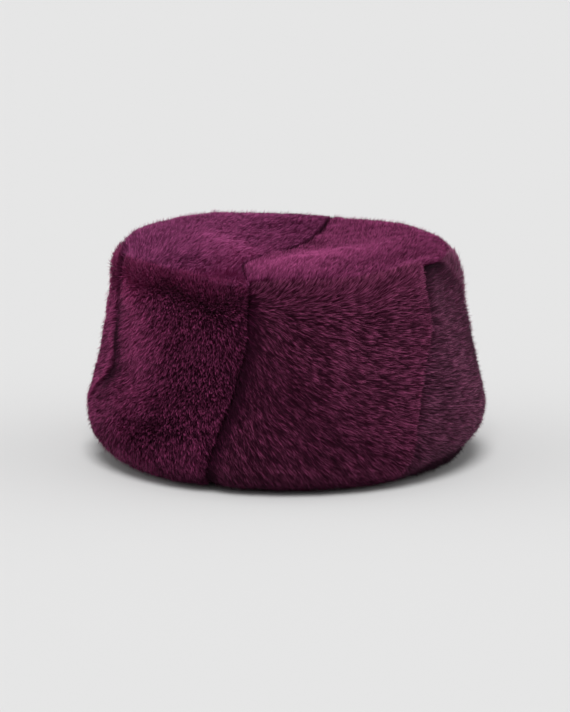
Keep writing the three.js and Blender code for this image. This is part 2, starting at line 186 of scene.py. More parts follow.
# lay of the pile on the crown: x, y, heading (0 is +X, 90 is +Y), and how upright it stands
CROWN_LAY_LEFT = [
    (-98, 0, 78, 0.5), (-88, -45, 70, 0.4), (-80, 55, 70, 0.6), (-40, 85, 40, 0.5), (10, 85, -10, 0.2), (-45, 30, 8, 0.3),
    (-5, 35, -24, 0.1), (-62, -8, 30, 0.2), (-30, -10, -20, 0.0), (-64, -44, 30, 0.2), (-42, -42, -6, 0.0), (-76, -74, -50, 0.4),
    (-50, -88, -62, 0.4), (-28, -95, -56, 0.3), (-22, -62, -34, 0.0),
]
CROWN_LAY_RIGHT = [
    (0, -95, 62, 0.0), (30, -95, 58, 0.0), (60, -82, 54, 0.0), (82, -55, 50, 0.0), (100, -15, 50, 0.1), (10, -55, 62, 0.0),
    (45, -35, 62, 0.0), (75, 10, 62, 0.1), (30, 10, 66, 0.1), (90, 45, 66, 0.4), (50, 50, 68, 0.3), (35, 85, 70, 0.5),
]
# piece: long locks, hairs of the lower pile, how far a hair reaches along the skin, lightness of the pile (painted
# light and
# shade: each piece lighter or darker for how it is lit and seen, the crown's halves lightest), how upright, how flat
# its tips lie, thickness of a hair, length and width of the tufts, how tightly they gather, how far out along it a lock
# is widest, how turned its hairs are, how much hairs differ in tone, how far they stray from the lay
PILES = {
    "crown_left": (35000, 78000, 5.0, 0.35, 0.0, 0.7, 0.86, 2.6, 0.62, 0.25, 0.55, 0.8, 1.55, 0.8),
    "crown_right": (34000, 72000, 6.0, 0.23, 0.0, 0.8, 0.82, 3.0, 0.6, 0.3, 0.5, 0.6, 1.6, 0.7),
    "panel_left": (42000, 92000, 4.8, 0.18, 0.1, 0.0, 0.76, 1.5, 0.8, 0.3, 0.6, 0.8, 1.25, 1.0),
    "panel_front": (40000, 92000, 6.0, 0.03, 0.0, 0.0, 0.64, 3.0, 0.48, 0.22, 0.5, 0.5, 2.05, 0.65),
    "panel_right": (28000, 60000, 6.2, 0.01, 0.0, 0.0, 0.70, 3.2, 0.5, 0.25, 0.5, 0.5, 1.7, 0.65),
    "panel_rear_right": (14000, 30000, 7.4, 0.18, 0.0, 0.0, 1.6, 4.0, 1.7, 0.4, 0.45, 0.5, 1.0, 1.0),
    "panel_rear": (14000, 28000, 7.4, 0.18, 0.0, 0.0, 1.6, 4.0, 1.7, 0.4, 0.45, 0.5, 1.0, 1.0),
    "panel_rear_left": (16000, 32000, 6.0, 0.30, 0.0, 0.0, 1.5, 3.0, 1.3, 0.3, 0.6, 0.9, 1.0, 1.0),
}
# patches where the pile is brushed another way and light and shade are painted into it: piece, name, angle, height,
# half size round, half size up, lighter (painted light above 0, painted shade below, as in the dark grooves and the lit
# band, facet and shoulder), flatter
BRUSHED_WITH_PAINTED_LIGHT = [
    ("panel_left", "groove_high", -72, 110, 5.0, 18, -0.80, 0.0),
    ("panel_left", "groove_low", -66.5, 80, 5.0, 25, -0.95, 0.0),
    ("panel_left", "band", -51, 84, 5, 32, 0.24, 1.0),
    ("panel_left", "facet", -58, 96, 6, 30, 0.20, 0.8),
    ("panel_left", "corner", -64, 119, 9, 12, 0.40, 0.2),
    ("panel_left", "corner_top", -54, 125, 12, 7, 0.30, 0.5),
    ("panel_left", "knee", -66, 50, 16, 12, 0.14, 0.9),
    ("panel_left", "knee_edge", -88, 46, 9, 18, -0.34, 0.0),
    ("panel_left", "belly", -60, 14, 22, 10, 0.06, 0.3),
    ("panel_left", "belly_edge", -84, 24, 12, 10, -0.12, 0.0),
    ("panel_left", "shoulder", -58, 118, 24, 7, 0.42, 0.2),
    ("panel_left", "dark", -38, 100, 12, 24, 0.18, -0.25),
    ("panel_left", "rim", -32, 122, 20, 9, 0.16, -0.5),
    ("panel_rear_left", "edge_high", -88, 112, 9, 24, 0.40, 0.8),
    ("panel_rear_left", "edge_low", -86, 64, 8, 20, -0.10, 0.6),
    ("panel_front", "top", 16, 118, 34, 12, 0.10, 0.2),
    ("panel_front", "middle", -6, 62, 18, 24, -0.12, 0.0),
    ("panel_front", "upper", -5, 91, 8, 12, -0.05, 0.0),
    ("panel_front", "centre", 16, 44, 14, 20, -0.06, 0.0),
    ("panel_front", "side", 36, 80, 8, 34, -0.04, 0.0),
    ("panel_front", "low", 6, 18, 40, 26, -0.09, 0.0),
    ("panel_right", "edge", 88, 80, 12, 34, -0.44, 0.0),
    ("panel_right", "corner", 58, 124, 6, 7, -0.04, 0.0),
    ("panel_right", "hollow", 67, 116, 6, 13, -0.10, 0.0),
    ("panel_rear_right", "edge", 84, 116, 9, 20, 0.26, 0.0),
]
# the same for the crown: piece, name, x, y, half length, half width, turn, lighter (painted light on ridges and brows,
# painted shade where below 0, on the slopes and the parts behind them), flatter
BRUSHED_CROWN_WITH_PAINTED_LIGHT = [
    ("crown_left", "ridge", -38, -34, 30, 12, -50, 0.46, 0.3),
    ("crown_left", "ridge_front", -36, -54, 20, 13, -30, 0.44, 0.2),
    ("crown_left", "brow", -30, -84, 26, 20, 0, 0.68, 0.1),
    ("crown_left", "ridge_outer", -68, -40, 34, 12, 62, 0.08, 0.3),
    ("crown_left", "slope", -46, -88, 28, 10, -20, 0.10, -0.5),
    ("crown_left", "outer", -84, 4, 24, 50, 0, -0.26, 0.0),
    ("crown_left", "back", -44, 60, 60, 40, 0, -0.06, 0.0),
    ("crown_right", "ridge", 16, -62, 44, 13, 40, 0.66, 0.2),
    ("crown_right", "behind", 16, -12, 20, 13, 70, -0.36, 0.0),
    ("crown_right", "front", 8, -92, 22, 12, 0, 0.24, 0.1),
    ("crown_right", "slope", 62, -74, 50, 16, 40, -0.13, -0.5),
    ("crown_right", "side", 84, -20, 22, 30, 0, -0.12, 0.0),
]

# ---------------------------------------------------------------- curves and the form
def curve_through(x, y):
    """Smooth curve through the points that never overshoots them."""
    x, y = np.asarray(x, float), np.asarray(y, float)
    h = np.diff(x)
    d = np.diff(y) / h
    m = np.zeros(len(x))
    for i in range(1, len(x) - 1):
        if d[i - 1] * d[i] > 0:
            a, b = 2 * h[i] + h[i - 1], h[i] + 2 * h[i - 1]
            m[i] = (a + b) / (a / d[i - 1] + b / d[i])
    m[0], m[-1] = d[0], d[-1]

    def value(q):
        q = np.clip(np.asarray(q, float), x[0], x[-1])
        i = np.clip(np.searchsorted(x, q, side="right") - 1, 0, len(x) - 2)
        t = (q - x[i]) / h[i]
        return ((1 + 2 * t) * (1 - t) ** 2 * y[i] + t * (1 - t) ** 2 * h[i] * m[i]
                + t * t * (3 - 2 * t) * y[i + 1] + t * t * (t - 1) * h[i] * m[i + 1])
    return value


def turn(a):
    return (np.asarray(a, float) + 180) % 360 - 180


def ease(t):
    t = np.clip(t, 0, 1)
    return t * t * (3 - 2 * t)


def around(table, column, at):
    at = turn(at)
    a = np.array([row[0] for row in table], float)
    v = np.array([row[column] for row in table], float)
    i = np.clip(np.searchsorted(a, at, side="right") - 1, 0, len(a) - 2)
    return v[i] + (v[i + 1] - v[i]) * ease((at - a[i]) / (a[i + 1] - a[i]))


LENGTHS = np.concatenate([[0], np.cumsum([math.hypot(b[1] - a[1], b[2] - a[2]) for a, b in zip(SECTIONS, SECTIONS[1:])])])
AT = {row[0]: s for row, s in zip(SECTIONS, LENGTHS)}
OUTER_R, OUTER_Z, INNER_R, INNER_Z = (curve_through(LENGTHS, [row[k] for row in SECTIONS]) for k in (1, 2, 3, 4))
SEAM_CURVES = {name: curve_through([-z for z in SEAM_HEIGHTS], angles) for name, angles in SEAMS.items()}
RIM_S, MOUTH_S = AT["rim_seam"], AT["mouth"]


def seam_at(name, s):
    return SEAM_CURVES[name](-OUTER_Z(s))


def form(s, at, inner=False):
    """Points of the outer or inner face, in mm."""
    s, at = np.broadcast_arrays(np.asarray(s, float), np.asarray(at, float))
    r0, z0, e = OUTER_R(s), OUTER_Z(s), 1.5
    dr, dz = OUTER_R(s + e) - OUTER_R(s - e), OUTER_Z(s + e) - OUTER_Z(s - e)
    n = np.hypot(dr, dz) + 1e-9
    out_r, out_z = -dz / n, dr / n
    fade = 1 - ease((s - AT["belly_low"]) / (AT["rest_outer"] - AT["belly_low"]))
    rise = np.zeros(s.shape)
    for _, a, h, wide, tall, lean, up in SIDE_FOLDS:
        rise += up * np.exp(-(turn(at - a - lean * (h - z0)) / wide) ** 2 - ((z0 - h) / tall) ** 2) * np.clip(out_r, 0, 1) * fade
    t = np.radians(at)
    x, y = r0 * np.sin(t), -r0 * np.cos(t)
    for _, cx, cy, long, wide, deg, up in CROWN_FOLDS:
        c, q = math.cos(math.radians(deg)), math.sin(math.radians(deg))
        u, v = (x - cx) * c + (y - cy) * q, -(x - cx) * q + (y - cy) * c
        rise += up * np.exp(-(u / long) ** 2 - (v / wide) ** 2) * np.clip(out_z, 0, 1)
    s0, s1, s3 = AT["crown_inner"] * 0.5, AT["crown_edge"], AT["wall_high"]
    at_edge = ease((s - s0) / (s1 - s0)) * (1 - ease((s - s1) / (RIM_S - s1)))
    at_seam = ease((s - s1) / (RIM_S - s1)) * (1 - ease((s - RIM_S) / (s3 - RIM_S)))
    low = ease((s - AT["wall_mid"]) / (AT["under"] - AT["wall_mid"])) ** 2
    r = (INNER_R(s) if inner else r0) + out_r * rise
    z = (INNER_Z(s) if inner else z0) + out_z * rise + around(RIM, 2, at) * at_edge + around(RIM, 1, at) * at_seam + around(LIFT, 1, at) * low
    return np.stack([r * np.sin(t), -r * np.cos(t), z], -1)


_run = np.concatenate([[0], np.cumsum([math.dist(a, b) for a, b in zip(CROWN_SEAM, CROWN_SEAM[1:])])])
SEAM_X, SEAM_Y = curve_through(_run, [p[0] for p in CROWN_SEAM]), curve_through(_run, [p[1] for p in CROWN_SEAM])
_q = np.linspace(0, _run[-1], 400)
_cx, _cy = SEAM_X(_q), SEAM_Y(_q)


def crown_seam_x(y):
    return np.interp(y, _cy, _cx)


_s_fine = np.linspace(0, RIM_S, 2000)
_r_fine = OUTER_R(_s_fine)


def to_section(x, y):
    """Length along the section and angle of a place on the crown seen from above; past the rim it goes on down the side."""
    r = np.hypot(x, y)
    s = np.interp(r, _r_fine, _s_fine) + np.clip(r - _r_fine[-1], 0, None)
    return s, np.degrees(np.arctan2(x, -y))


class Sheet:
    """A stretch of the form as a fine table of points and directions, read by (p, q)."""

    def __init__(self, p, q, point):
        self.p0, self.dp, self.q0, self.dq = p[0], p[1] - p[0], q[0], q[1] - q[0]
        self.shape = (len(p), len(q))
        g = point(p[:, None], q[None, :])
        gp, gq = np.gradient(g, self.dp, self.dq, axis=(0, 1))
        n = np.cross(gp, gq)
        n /= np.linalg.norm(n, axis=-1, keepdims=True) + 1e-12
        self.grid = np.concatenate([g, n], -1).reshape(-1, 6)

    def __call__(self, p, q):
        a = np.clip((p - self.p0) / self.dp, 0, self.shape[0] - 1.001)
        b = np.clip((q - self.q0) / self.dq, 0, self.shape[1] - 1.001)
        i, j = a.astype(np.int64), b.astype(np.int64)
        f, g = (a - i)[:, None], (b - j)[:, None]
        k = i * self.shape[1] + j
        w = self.grid
        v = (w[k] * (1 - f) + w[k + self.shape[1]] * f) * (1 - g) + (w[k + 1] * (1 - f) + w[k + self.shape[1] + 1] * f) * g
        n = v[:, 3:]
        return v[:, :3], n / (np.linalg.norm(n, axis=-1, keepdims=True) + 1e-12)


# side: p is the length down the wall, q the angle times ARC, so both are in mm
ARC = math.radians(1) * 120
SIDE = Sheet(np.arange(RIM_S - 14, MOUTH_S + 4, 0.8), np.arange(-200, 200.25, 0.5) * ARC, lambda s, q: form(np.minimum(s, MOUTH_S), q / ARC))
CROWN = Sheet(np.arange(-122, 122.5, 1.0), np.arange(-122, 122.5, 1.0), lambda x, y: form(*to_section(x, y)))


# ---------------------------------------------------------------- noise
def cell_noise(i, j, k):
    """A number from 0 to 1 for each whole-number cell."""
    h = (i.astype(np.int64) * 73856093) ^ (j.astype(np.int64) * 19349663) ^ (np.int64(k) * 83492791)
    h = (h ^ (h >> 13)) * 1274126177
    h = (h ^ (h >> 16)) & 0xFFFFFF
    return h / float(0x1000000)


def waves(p, q, low, high, k, count=7):
    """Smooth noise of about -1 to 1 with wavelengths from low to high mm."""
    rng = np.random.default_rng(SEED * 100 + k)
    total = np.zeros(np.shape(p))
    for _ in range(count):
        w = 2 * math.pi / rng.uniform(low, high)
        a, b = rng.uniform(0, 2 * math.pi, 2)
        total += np.sin(w * (math.cos(a) * p + math.sin(a) * q) + b)
    return total / math.sqrt(count)


# ---------------------------------------------------------------- meshes
def build_mesh(name, points, faces, uvs=None, smooth=True):
    """Points in mm; faces is an array of rows of 3 or 4, or a list of such arrays."""
    faces = [np.asarray(f, np.int32) for f in (faces if isinstance(faces, list) else [faces])]
    points = (np.asarray(points, float) + SHIFT) / 1000
    mesh = bpy.data.meshes.new(name)
    mesh.vertices.add(len(points))
    mesh.vertices.foreach_set("co", points.astype(np.float32).ravel())
    loops = np.concatenate([f.ravel() for f in faces])
    sizes = np.concatenate([np.full(len(f), f.shape[1], np.int32) for f in faces])
    mesh.loops.add(len(loops))
    mesh.loops.foreach_set("vertex_index", loops)
    mesh.polygons.add(len(sizes))
    mesh.polygons.foreach_set("loop_start", np.concatenate([[0], np.cumsum(sizes)[:-1]]).astype(np.int32))
    mesh.polygons.foreach_set("use_smooth", np.full(len(sizes), smooth))
    mesh.update(calc_edges=True)
    if uvs is not None:
        layer = mesh.uv_layers.new(name="OFBake")
        layer.uv.foreach_set("vector", np.asarray(uvs, np.float32)[loops].ravel())
    obj = bpy.data.objects.new(name, mesh)
    bpy.context.scene.collection.objects.link(obj)
    return obj


def closed_wall(rows, cols, outer, inner):
    """Points and quads of a closed wall between two rows-by-cols grids."""
    n = rows * cols
    k = np.arange(n).reshape(rows, cols)
    a, b, c, d = (g.ravel() for g in (k[:-1, :-1], k[1:, :-1], k[1:, 1:], k[:-1, 1:]))
    quads = [np.stack([a, b, c, d], 1), np.stack([a + n, d + n, c + n, b + n], 1)]
    for edge, flip in ((k[:, 0], False), (k[:, -1], True), (k[0, :], True), (k[-1, :], False)):
        a, b = edge[:-1], edge[1:]
        q = np.stack([a + n, b + n, b, a], 1)
        quads.append(q[:, ::-1] if flip else q)
    return np.concatenate([outer.reshape(-1, 3), inner.reshape(-1, 3)]), np.concatenate(quads)


# ---------------------------------------------------------------- skins
def dip(distance, depth, width=5.0):
    return depth * np.exp(-(distance / width) ** 2)


def side_skin(name, first, last):
    rows, cols = 46, 38
    s = RIM_S + RIM_GAP / 2 + (MOUTH_S - RIM_S - RIM_GAP / 2) * np.linspace(0, 1, rows)[:, None]
    a0, a1 = seam_at(first, s), seam_at(last, s)
    span = (a1 - a0) % 360
    u = 0.5 - 0.5 * np.cos(np.pi * np.linspace(0, 1, cols))[None, :] * 0.35 + (np.linspace(-0.5, 0.5, cols) * 0.65)[None, :]
    faces = []
    for inner in (False, True):
        r = INNER_R(s) if inner else OUTER_R(s)
        half = np.degrees(SEAM_GAP / 2 / r)
        at = a0 + half + (span - 2 * half) * u
        faces.append(form(s, at, inner))
    reach = np.radians(span) * OUTER_R(s)
    depth = PILE + dip(u * reach, SEAM_STYLE[first][1]) * (1 - 0.9 * np.exp(-((s - RIM_S) / 9) ** 2)) + dip((1 - u) * reach, 0.6, 3.0)
    depth = depth + dip(s - RIM_S, 0.6, 3.0)
    line = faces[1] - faces[0]
    full = np.linalg.norm(line, axis=-1)
    t = np.minimum(depth, full * 0.86) / full
    outer = faces[0] + line * t[..., None]
    return closed_wall(rows, cols, outer, faces[1])


def crown_skin(left):
    rows, cols = 60, 30
    side = -1 if left else 1
    end = RIM_S - RIM_GAP / 2
    rim_r = float(OUTER_R(end))
    a0, a1 = float(SEAM_CURVES["front_left"](-129.5)), float(SEAM_CURVES["back_right"](-129.5))
    half = math.degrees(SEAM_GAP / 2 / rim_r)
    start = a0 + side * half
    sweep = (a1 - 360 + half - start) if left else (a1 - half - start)
    v = np.linspace(0, 1, rows)[:, None]
    w = np.linspace(0, 1, cols)[None, :]
    w = w if left else w[:, ::-1]
    rim = np.radians(start + sweep * v)
    qx, qy = rim_r * np.sin(rim), -rim_r * np.cos(rim)
    t, e = _run[-1] * v, 0.5
    tx, ty = SEAM_X(t + e) - SEAM_X(t - e), SEAM_Y(t + e) - SEAM_Y(t - e)
    n = np.hypot(tx, ty)
    px, py = SEAM_X(t) + side * ty / n * SEAM_GAP / 2, SEAM_Y(t) - side * tx / n * SEAM_GAP / 2
    for k in (0, -1):
        px[k], py[k] = qx[k] + (0 - qx[k]) * 1e-4, qy[k] + (0 - qy[k]) * 1e-4
    x, y = px + (qx - px) * w, py + (qy - py) * w
    s, at = to_section(x, y)
    s = np.minimum(s, end)
    outer, inner = form(s, at), form(s, at, True)
    distance = np.hypot(x - px, y - py)
    depth = PILE + (dip(distance, 0.4, 3.0) if left else dip(distance, SEAM_STYLE["crown"][1]))
    line = inner - outer
    full = np.linalg.norm(line, axis=-1)
    t = np.minimum(depth, full * 0.86) / full
    return closed_wall(rows, cols, outer + line * t[..., None], inner)


# ---------------------------------------------------------------- pile
_lay = np.array(LAY, float)


def droop(p, q):
    """How far the lay droops from level on the side, in degrees."""
    z = OUTER_Z(p)
    at = q / ARC
    top = np.zeros(len(p))
    total = np.zeros(len(p))
    for a, h, d in _lay:
        w = np.exp(-(turn(at - a) / 9) ** 2 - ((z - h) / 13) ** 2) + 1e-9
        top += w * d
        total += w
    return top / total


def spread(n, k):
    """n points of an even, unordered scatter over the unit square."""
    g = 1.32471795724474602596
    i = np.arange(1, n + 1) + k * 7919
    return (0.5 + i / g) % 1, (0.5 + i / (g * g)) % 1


def tufts(p, q, direction, long, wide):
    """Each hair belongs to the nearest of a jittered grid of tufts, which are longer along the lay: the way to the middle of
    its tuft across the lay, and three numbers of the tuft's own."""
    step = np.round(np.degrees(np.arctan2(direction[:, 1], direction[:, 0])) / 12).astype(np.int64)
    c, s = np.cos(np.radians(step * 12)), np.sin(np.radians(step * 12))
    a, b = (p * c + q * s) / long, (q * c - p * s) / wide
    ci, cj = np.floor(a).astype(np.int64), np.floor(b).astype(np.int64)
    n = len(p)
    best, off, own = np.full(n, 1e9), np.zeros(n), np.zeros((n, 3))
    for di in (-1, 0, 1):
        for dj in (-1, 0, 1):
            i, j = ci + di, cj + dj
            k = i + step * 1009
            x = i + 0.12 + 0.76 * cell_noise(k, j, 1)
            y = j + 0.12 + 0.76 * cell_noise(k, j, 2)
            d = (x - a) ** 2 + (y - b) ** 2
            m = d < best
            best[m], off[m] = d[m], (y - b)[m] * wide
            own[m] = np.stack([cell_noise(k, j, 3), cell_noise(k, j, 4), cell_noise(k, j, 5)], 1)[m]
    return np.stack([-s * off, c * off], 1), own


def hairs(sheet, p, q, direction, ends, seam_ends, cut, rng, style, tone, long, stand, flat, drop, edge, fill, fine=1.0):
    """Points and uvs of hairs. p, q are their roots and direction their lay, in the sheet's own plane; ends is how far
    each may reach, seam_ends how far to the seam, cut how much lighter they are that end there: painted light above 0
    and painted shade below. The long ones are bent locks of two faces, the others are a single face. stand is 1 where
    they stand up, flat 1 where their tips lie flat, drop the height they lose, edge the height they gain at the panel's
    end, fill 1 where they are short, fine a share of their thickness."""
    n = len(p)
    to_tuft, own = tufts(p, q, direction, style["tuft_long"], style["tuft_wide"])
    root2 = np.stack([p, q], 1)
    twist = np.radians(style["stray"] * (rng.normal(0, 9, n) + (own[:, 0] - 0.5) * 20) + 6 * waves(p, q, 14, 40, 11) * (1 + 2 * stand))
    c, s = np.cos(twist), np.sin(twist)
    lay = np.stack([direction[:, 0] * c - direction[:, 1] * s, direction[:, 0] * s + direction[:, 1] * c], 1)
    rank = np.clip(0.65 * rng.random(n) + 0.35 * own[:, 2], 0, 1)
    rank = 0.45 + 0.55 * rank if long else 0.62 * rank
    rank = rank + (0.8 - rank) * np.clip(0.55 * flat, 0, 0.9) * (1.0 if long else 0.5)
    reach = style["length"] * (1 - 0.45 * stand) * (1 - 0.62 * fill) * (0.74 + 0.26 * rng.random(n) + 0.2 * own[:, 1])
    # a hair stops short of a seam that its panel ends at, and then stands up more
    short = np.clip(ends / (reach + 1e-9), 0.10, 1)
    # painted light on hairs whose tips end at a seam, painted shade where cut is below 0
    tone = tone + cut * np.clip(1.3 - seam_ends / (reach + 1e-9), 0, 1)
    reach = reach * short
    height = (PILE + OVER) * (0.58 + 0.42 * rank) + 0.4 * waves(p, q, 9, 30, 12) - drop
    height = np.maximum(height, 1.6) * (0.84 + 0.16 * short) + edge
    stray = rng.random(n) < (0.14 if long else 0.0)      # thin hairs that stand over the rest, made lighter as a painted highlight
    height = height + stray * (0.3 + 2.1 * rng.random(n))
    reach = reach * np.where(stray, 0.7, 1)
    tip2 = root2 + lay * reach[:, None] + to_tuft * (style["gather"] * np.clip(short * 1.3, 0, 1))[:, None]
    base, bn = sheet(p, q)
    b, tn = sheet(tip2[:, 0], tip2[:, 1])
    root = base - bn * (PILE + 0.8)
    tip = b - tn * (PILE - height)[:, None]
    out = style["widest"]
    mid2 = root2 + (tip2 - root2) * out
    a, an = sheet(mid2[:, 0], mid2[:, 1])
    low = 0.25 + 0.9 * rng.random(n)      # the floor presses the pile flat
    if long:
        mid = a - an * (PILE - height * (0.52 + 0.38 * out + 0.2 * flat * (1 - out)))[:, None]
        parts = ((root, 0.6), (mid, 0.3), (tip, 0.0))
    else:
        parts = ((root, 0.6), (tip, 0.0))
    for pt, lift in parts:
        under = pt[:, 2] < low + lift
        pt[under, 2] = (low + lift)[under]
    along = tip - (mid if long else root)
    along /= np.linalg.norm(along, axis=1, keepdims=True) + 1e-9
    across = np.cross(along, an)
    across /= np.linalg.norm(across, axis=1, keepdims=True) + 1e-9
    roll = rng.normal(0, style["turned"], n)[:, None]
    across = across * np.cos(roll) + np.cross(along, across) * np.sin(roll)
    width = (LOCK_WIDTH if long else HAIR_WIDTH) * style["thick"] * fine * (0.65 + 0.7 * rng.random(n)) * np.where(stray, 0.55, 1)
    offset = across * (width / 2)[:, None]
    of_tuft = 0.44 * (own[:, 0] - 0.5) + 0.44 * (own[:, 2] - 0.5)
    # hairs lower in the pile are darker, painted shade between the tufts, and stray hairs lighter, a painted highlight;
    # the rest is each hair's and tuft's own tone
    u = tone + 0.42 * (rank - 0.5) + style["varied"] * (1.15 - 0.5 * flat) * (0.12 * rng.normal(0, 1, n) + of_tuft)
    u += 0.05 * waves(p, q, 4, 12, 13) + 0.05 * waves(p, q, 20, 60, 14) + 0.18 * stray
    unshaded_share = 1 - np.clip(-1.3 * tone, 0, 0.7)      # where the painted shade is deepest the hairs show only the dark root end of their colour ramp, deepening that painted shade
    u = np.clip(u, 0.03, 0.97)
    if long:
        v = (out + 0.05) * unshaded_share
        points = np.stack([root, mid - offset, mid + offset, tip], 1)
        uv = [(u, 0.01), (u - 0.012, v), (u + 0.012, v), (u, 0.99 * unshaded_share)]
    else:
        points = np.stack([root - offset, root + offset, tip], 1)
        uv = [(u - 0.012, 0.01), (u + 0.012, 0.01), (u, 0.80 * unshaded_share)]
    points[..., 2] = np.maximum(points[..., 2], 0.1)
    uv = np.stack([np.stack([x, np.broadcast_to(y, n)], 1) for x, y in uv], 1)
    return points.reshape(-1, 3), uv.reshape(-1, 2)


def pile_mesh(name, long, low):
    """One mesh of the long locks and the lower pile, each a pair of points and uvs."""
    n, m = len(long[0]) // 4, len(low[0]) // 3
    k = np.arange(n)[:, None] * 4
    kites = np.concatenate([k + np.array([[0, 1, 2]]), k + np.array([[1, 3, 2]])], 1).reshape(-1, 3)
    blades = n * 4 + np.arange(m)[:, None] * 3 + np.array([[0, 1, 2]])
    return build_mesh(name, np.concatenate([long[0], low[0]]), np.concatenate([kites, blades]), np.concatenate([long[1], low[1]]))


def side_roots(first, last, n, k):
    """n roots spread evenly over a panel: length down the wall, and share of the way from the first seam to the last."""
    s = np.linspace(RIM_S, MOUTH_S, 800)
    span = (seam_at(last, s) - seam_at(first, s)) % 360
    w = np.radians(span) * OUTER_R(s)
    area = np.concatenate([[0], np.cumsum((w[1:] + w[:-1]) / 2 * np.diff(s))])
    a, b = spread(n, k)
    return np.interp(a * area[-1], area, s), b


def side_pile(name, first, last, locks, blades, k, style):
    rng = np.random.default_rng(SEED + k)
    parts = []
    for long, n in ((True, locks), (False, blades)):
        p, b = side_roots(first, last, n, k + 20 * long)
        # the rear panels have more and finer hairs next to the side panels
        b = 1 - (1 - b) ** 1.5 if last == "far_left" else b ** 1.5 if first == "far_right" else b
        a0 = seam_at(first, p)
        width = (seam_at(last, p) - a0) % 360
        q = turn(a0 + b * width) * ARC
        r = OUTER_R(p)
        phi = np.radians(droop(p, q))
        to_end = (1 - b) * np.radians(width) * r
        to_start = b * np.radians(width) * r
        start, end = SEAM_STYLE[first], SEAM_STYLE[last]
        fine = 1 - 0.5 * np.exp(-((to_end if last == "far_left" else to_start if first == "far_right" else 0 * p + 99) / 30) ** 2)
        seam_ends = ends = (to_end + end[0] * (0.15 + 1.7 * rng.random(n))) / np.maximum(np.cos(phi), 0.35)
        # near the mouth the pile may not reach past the edge, nor past the rim where it leans up
        ends = np.minimum(ends, np.where(np.sin(phi) > 0.05, (MOUTH_S - p + 1.0) / np.maximum(np.sin(phi), 0.05), 99))
        ends = np.minimum(ends, np.where(np.sin(phi) < -0.05, (p - RIM_S + 2.5 + 6.0 * rng.random(n)) / np.maximum(-np.sin(phi), 0.05), 99))
        direction = np.stack([np.sin(phi), np.cos(phi) * 120 / r], 1)
        at_start = np.exp(-(to_start / start[3]) ** 2)
        at_end = np.exp(-(to_end / end[8]) ** 2)
        stands, painted_light, wide = (around(RIM_STYLE, c, q / ARC) for c in (5, 6, 7))
        at_rim = np.exp(-((p - RIM_S) / wide) ** 2)
        drop = start[2] * at_start + np.maximum(-stands, 0) * at_rim + 1.4 * np.exp(-(OUTER_Z(p) / 8) ** 2)
        fill = start[4] * np.exp(-(to_start / 5.0) ** 2)
        edge = end[6] * at_end + np.maximum(stands, 0) * at_rim
        z = OUTER_Z(p)
        # where the bottom edge is raised the pile under it hangs to the floor, its colour darkened there as painted
        # shade
        hang = around(LIFT, 1, q / ARC)
        edge = edge + hang * np.exp(-(z / 5) ** 2)
        # painted shade: darker under a raised bottom edge, where a panel's pile starts at a seam, and in its first few
        # mm
        tone = style["tone"] - 0.16 * hang * np.exp(-(z / 7) ** 2) - start[5] * at_start - start[9] * np.exp(-(to_start / 5.0) ** 2)
        # painted light at a panel's end and along the rim (painted shade where these are below 0), and painted shade
        # towards the floor
        tone = tone + end[7] * at_end + painted_light * at_rim - 0.22 * np.exp(-(z / 9) ** 2)
        flat = style["flat"] + 0 * p
        for piece, _, a, h, wide, tall, painted_light, flatter in BRUSHED_WITH_PAINTED_LIGHT:
            m = (piece == name) * np.exp(-(turn(q / ARC - a) / wide) ** 2 - ((z - h) / tall) ** 2)
            tone, flat = tone + painted_light * m, flat + flatter * m
        stand = np.clip(style["stand"] - np.minimum(flat, 0), 0, 1)
        flat = np.clip(flat, 0, 1)
        parts.append(hairs(SIDE, p, q, direction, ends, seam_ends, end[10], rng, style, tone, long, stand, flat, drop, edge, fill, fine))
    return pile_mesh(f"{name}_pile", *parts)


